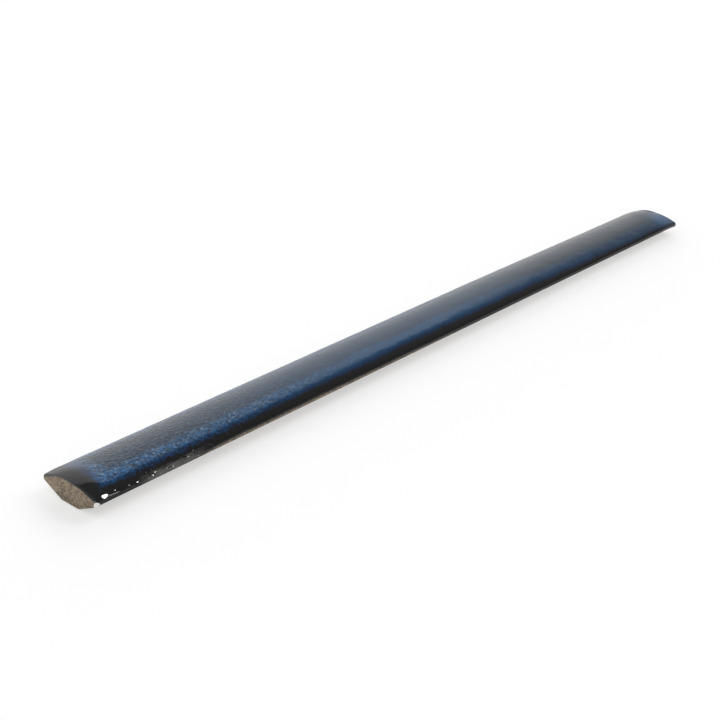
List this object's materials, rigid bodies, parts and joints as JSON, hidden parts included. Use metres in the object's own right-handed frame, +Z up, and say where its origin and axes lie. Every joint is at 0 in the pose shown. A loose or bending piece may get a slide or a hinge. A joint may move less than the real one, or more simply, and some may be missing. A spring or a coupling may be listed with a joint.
{
  "type": "porcelain trim tile",
  "caption": "Slim straight porcelain trim tile with a crowned glazed face, square ends, and a back undercut on both sides to a narrow flat bed for adhesive.",
  "frame": {"origin": "middle of the flat bed on the tile's back, which is the lowest face", "axes": "+X along the length, +Y across the width, +Z up through the crown"},
  "size_m": [0.2, 0.015, 0.0052],
  "materials": {
    "glazed_porcelain": "glossy blue glaze that breaks to black at the rims, over taupe fired clay left bare on the ends and back"
  },
  "bodies": {
    "root": {"trim_tile": "glazed_porcelain"}
  },
  "joints": []
}
